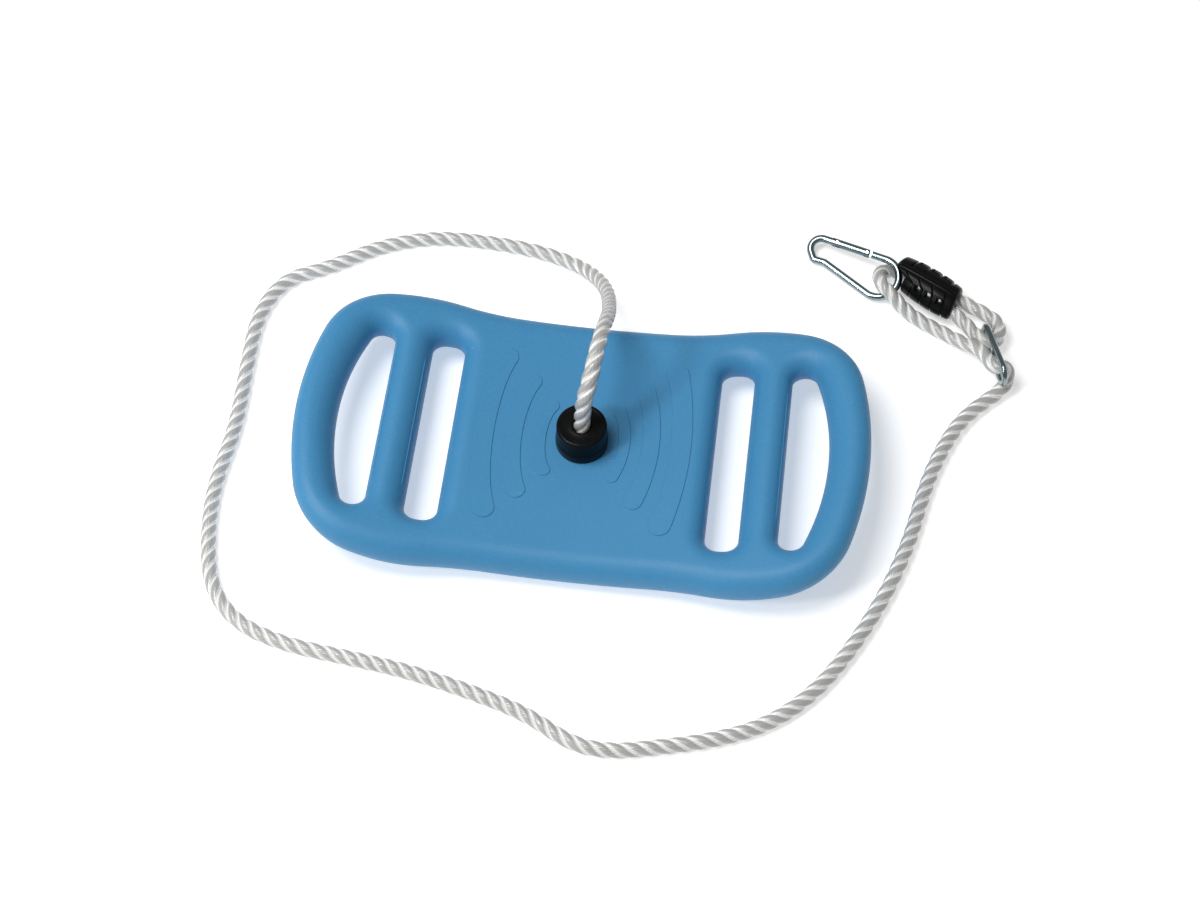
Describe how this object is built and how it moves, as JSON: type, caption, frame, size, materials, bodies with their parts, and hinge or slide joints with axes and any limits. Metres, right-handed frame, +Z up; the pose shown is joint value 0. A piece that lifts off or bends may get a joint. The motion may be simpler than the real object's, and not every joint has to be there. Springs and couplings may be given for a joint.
{
  "type": "rope swing seat",
  "caption": "Curved moulded seat board with slots and hand grips, hung on one rope with a ring adjuster, a clamp barrel and a snap hook.",
  "frame": {"origin": "on the floor under the middle of the seat board", "axes": "+X along the board's length, +Y across it towards the snap hook's side, +Z up from the floor out of the collar"},
  "size_m": [0.6392, 0.4967, 0.1159],
  "materials": {
    "board_plastic": "fine grained blow-moulded polyethylene",
    "collar_plastic": "smooth black",
    "barrel_plastic": "smooth black",
    "zinc_steel": "bright zinc plating",
    "rivet_steel": "bright",
    "rope_fibre": "silky white polypropylene, three strands",
    "melted_fibre": "melted rope end"
  },
  "bodies": {
    "seat": {"seat_board": "board_plastic", "top_collar": "collar_plastic", "lower_bush": "collar_plastic", "load_washer": "zinc_steel", "rope_in_seat": "rope_fibre", "rope_rise": "rope_fibre", "rope_left": "rope_fibre", "rope_right": "rope_fibre", "rope_through_adjuster": "rope_fibre", "rope_hook_bight": "rope_fibre", "rope_return_loop": "rope_fibre", "rope_tail": "rope_fibre", "rope_knot": "rope_fibre", "rope_tail_seal": "melted_fibre", "rope_end_seal": "melted_fibre", "adjuster_ring": "zinc_steel", "barrel_front_half": "barrel_plastic", "barrel_back_half": "barrel_plastic"},
    "hook": {"hook_frame": "zinc_steel", "hinge_rivet": "rivet_steel"},
    "gate": {"hook_gate": "zinc_steel", "latch_rivet": "rivet_steel", "gate_spring": "rivet_steel"},
    "plunger": {"gate_plunger": "rivet_steel"}
  },
  "joints": [
    {"name": "hook_swing", "type": "hinge", "parent": "seat", "child": "hook", "pos_m": [0.22567, 0.20293, 0.01066], "axis": [-0.2178, -0.3232, 0.9209], "range_deg": [-15, 2]},
    {"name": "gate_hinge", "type": "hinge", "parent": "hook", "child": "gate", "pos_m": [0.21443, 0.22357, 0.01524], "axis": [-0.2178, -0.3232, 0.9209], "range_deg": [0, 19], "stiffness_Nm_per_rad": 0.08, "springref_deg": -14.32},
    {"name": "plunger_slide", "type": "slide", "parent": "gate", "child": "plunger", "axis": [-0.9348, 0.3404, -0.1016], "range_m": [0, 0.00062]}
  ],
  "couplings": [
    {"joint": "plunger_slide", "follows": "gate_hinge", "m_per_rad": 0.0016}
  ]
}
